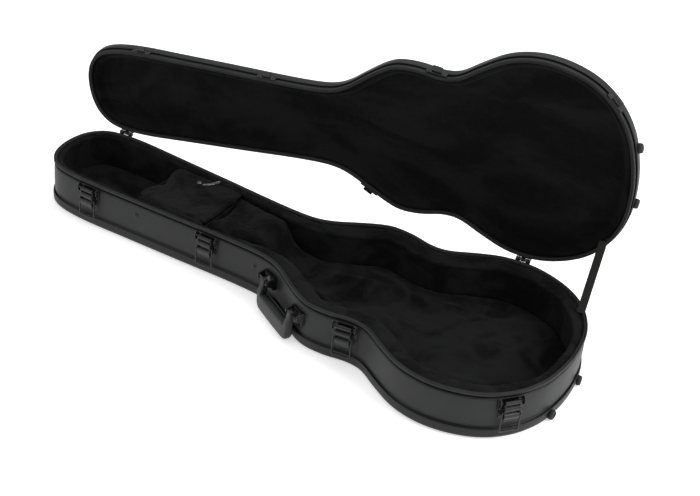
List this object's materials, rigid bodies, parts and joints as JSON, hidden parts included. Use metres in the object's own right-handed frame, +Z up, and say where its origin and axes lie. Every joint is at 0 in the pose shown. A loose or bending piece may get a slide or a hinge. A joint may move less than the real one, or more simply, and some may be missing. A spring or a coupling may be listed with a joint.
{
  "type": "guitar case",
  "caption": "Shaped hard case for an electric guitar, shown open: hinged lid on a strap, draw latches, carrying handle, plush padding and an accessory compartment.",
  "frame": {"origin": "middle of the flat underside of the base", "axes": "+X along the case to its wide butt end, -Y to the handle and latch side, +Y to the hinge side, +Z up"},
  "size_m": [1.1049, 0.4505, 0.4995],
  "materials": {
    "shell": "satin black moulded covering with a fine leather-like grain",
    "rim": "smooth semi-gloss black extrusion",
    "hardware": "black painted pressed steel, softly worn on its edges",
    "plush": "black long-pile plush over foam",
    "board": "thin board covered in black plush",
    "handle_plastic": "moulded dark grey plastic with a fine texture",
    "webbing": "woven dark grey strap",
    "foot_rubber": "matt black rubber"
  },
  "bodies": {
    "base": {"bottom_cover": "shell", "bottom_cover_lip": "shell", "base_side_wall": "shell", "base_rim": "rim", "wall_padding": "plush", "floor_pad": "plush", "body_platform": "plush", "neck_block": "plush", "compartment_head_wall": "board", "compartment_tail_wall": "board", "compartment_lid_hinge": "plush", "hinge_1_base_leaf": "hardware", "hinge_2_base_leaf": "hardware", "handle_bracket_1": "hardware", "handle_bracket_2": "hardware", "handle_pin_1": "hardware", "handle_pin_2": "hardware", "base_foot_1": "foot_rubber", "base_foot_2": "foot_rubber", "strap_anchor_base": "hardware", "lid_strap": "webbing", "latch_1_plate": "hardware", "latch_1_pin": "hardware", "latch_2_plate": "hardware", "latch_2_pin": "hardware", "latch_3_plate": "hardware", "latch_3_pin": "hardware", "latch_4_plate": "hardware", "latch_4_pin": "hardware", "latch_5_plate": "hardware", "latch_5_pin": "hardware"},
    "lid": {"lid_cover": "shell", "lid_cover_lip": "shell", "lid_side_wall": "shell", "lid_rim": "rim", "lid_padding": "plush", "hinge_1_lid_leaf": "hardware", "hinge_2_lid_leaf": "hardware", "lid_foot_1": "foot_rubber", "lid_foot_2": "foot_rubber", "strap_anchor_lid": "hardware", "lid_catch_1": "hardware", "lid_catch_2": "hardware", "lid_catch_3": "hardware", "lid_catch_4": "hardware", "lid_catch_5": "hardware"},
    "compartment_lid": {"compartment_lid": "plush", "pull_stud": "handle_plastic", "pull_tab": "handle_plastic"},
    "handle": {"handle_grip": "handle_plastic"},
    "lever_1": {"latch_1_lever": "hardware"},
    "bail_1": {"latch_1_bail": "hardware"},
    "lever_2": {"latch_2_lever": "hardware"},
    "bail_2": {"latch_2_bail": "hardware"},
    "lever_3": {"latch_3_lever": "hardware"},
    "bail_3": {"latch_3_bail": "hardware"},
    "lever_4": {"latch_4_lever": "hardware"},
    "bail_4": {"latch_4_bail": "hardware"},
    "lever_5": {"latch_5_lever": "hardware"},
    "bail_5": {"latch_5_bail": "hardware"}
  },
  "joints": [
    {"name": "lid_hinge", "type": "hinge", "parent": "base", "child": "lid", "pos_m": [0, 0.1555, 0.094], "axis": [-0.991, -0.134, 0], "range_deg": [-87, 0], "deforming": ["lid_strap"]},
    {"name": "handle_swing", "type": "hinge", "parent": "base", "child": "handle", "pos_m": [0.04003, -0.1261, 0.06], "axis": [-0.8738, 0.4863, 0], "range_deg": [0, 95]},
    {"name": "compartment_hinge", "type": "hinge", "parent": "base", "child": "compartment_lid", "pos_m": [-0.241, -0.061, 0.087], "axis": [1, 0, 0], "range_deg": [0, 95]},
    {"name": "lever_1_pivot", "type": "hinge", "parent": "base", "child": "lever_1", "pos_m": [-0.40993, -0.095, 0.0788], "axis": [0.9999, 0.0129, 0], "range_deg": [-120, 0]},
    {"name": "bail_1_pivot", "type": "hinge", "parent": "lever_1", "child": "bail_1", "pos_m": [-0.40988, -0.0986, 0.062], "axis": [-0.9999, -0.0129, 0], "range_deg": [0, 180]},
    {"name": "lever_2_pivot", "type": "hinge", "parent": "base", "child": "lever_2", "pos_m": [-0.1458, -0.08497, 0.0788], "axis": [0.9994, 0.0348, 0], "range_deg": [-120, 0]},
    {"name": "bail_2_pivot", "type": "hinge", "parent": "lever_2", "child": "bail_2", "pos_m": [-0.14568, -0.08857, 0.062], "axis": [-0.9994, -0.0348, 0], "range_deg": [0, 180]},
    {"name": "lever_3_pivot", "type": "hinge", "parent": "base", "child": "lever_3", "pos_m": [0.18848, -0.14933, 0.0788], "axis": [0.9842, 0.1773, 0], "range_deg": [-120, 0]},
    {"name": "bail_3_pivot", "type": "hinge", "parent": "lever_3", "child": "bail_3", "pos_m": [0.18912, -0.15287, 0.062], "axis": [-0.9842, -0.1773, 0], "range_deg": [0, 180]},
    {"name": "lever_4_pivot", "type": "hinge", "parent": "base", "child": "lever_4", "pos_m": [0.50126, -0.14336, 0.0788], "axis": [0.6324, 0.7747, 0], "range_deg": [-120, 0]},
    {"name": "bail_4_pivot", "type": "hinge", "parent": "lever_4", "child": "bail_4", "pos_m": [0.50405, -0.14564, 0.062], "axis": [-0.6324, -0.7747, 0], "range_deg": [0, 180]},
    {"name": "lever_5_pivot", "type": "hinge", "parent": "base", "child": "lever_5", "pos_m": [0.04697, 0.11962, 0.0788], "axis": [-0.8341, -0.5516, 0], "range_deg": [-120, 0]},
    {"name": "bail_5_pivot", "type": "hinge", "parent": "lever_5", "child": "bail_5", "pos_m": [0.04498, 0.12262, 0.062], "axis": [0.8341, 0.5516, 0], "range_deg": [0, 180]}
  ]
}
